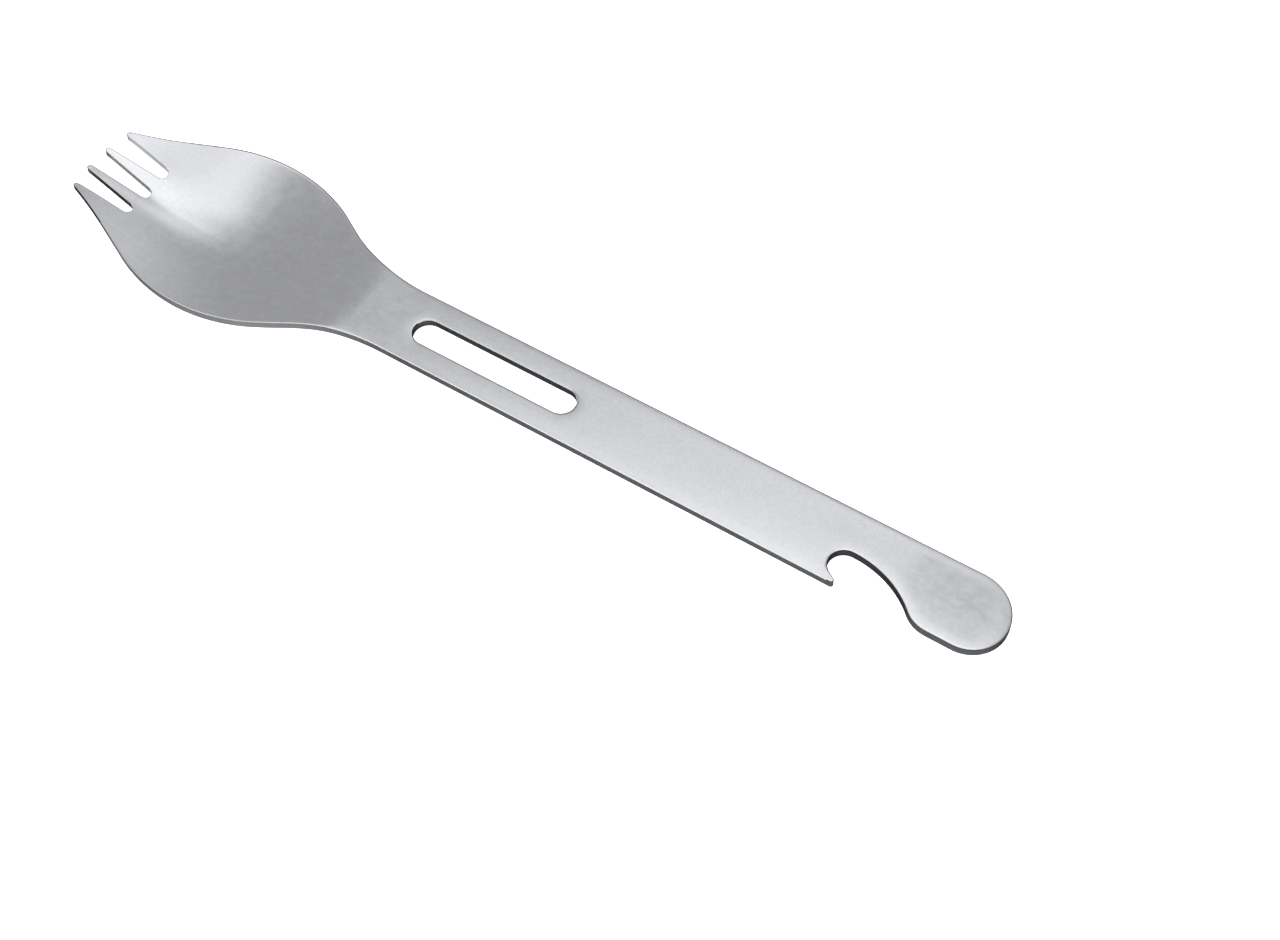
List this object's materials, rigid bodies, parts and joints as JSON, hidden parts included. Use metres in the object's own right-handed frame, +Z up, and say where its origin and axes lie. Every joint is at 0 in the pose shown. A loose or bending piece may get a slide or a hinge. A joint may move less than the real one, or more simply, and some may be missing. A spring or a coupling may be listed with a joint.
{
  "type": "spork",
  "caption": "One-piece stainless steel spork: shallow bowl with short tines, flat handle with a long hanging slot and a bottle-opener notch near its round end.",
  "frame": {"origin": "middle of the overall box, at the height of the lowest point of the bowl", "axes": "+X from the tines to the round handle end, +Y across the handle away from the opener notch, +Z up out of the bowl"},
  "size_m": [0.199, 0.0388, 0.0086],
  "materials": {
    "steel": "satin"
  },
  "bodies": {
    "root": {"spork": "steel"}
  },
  "joints": []
}
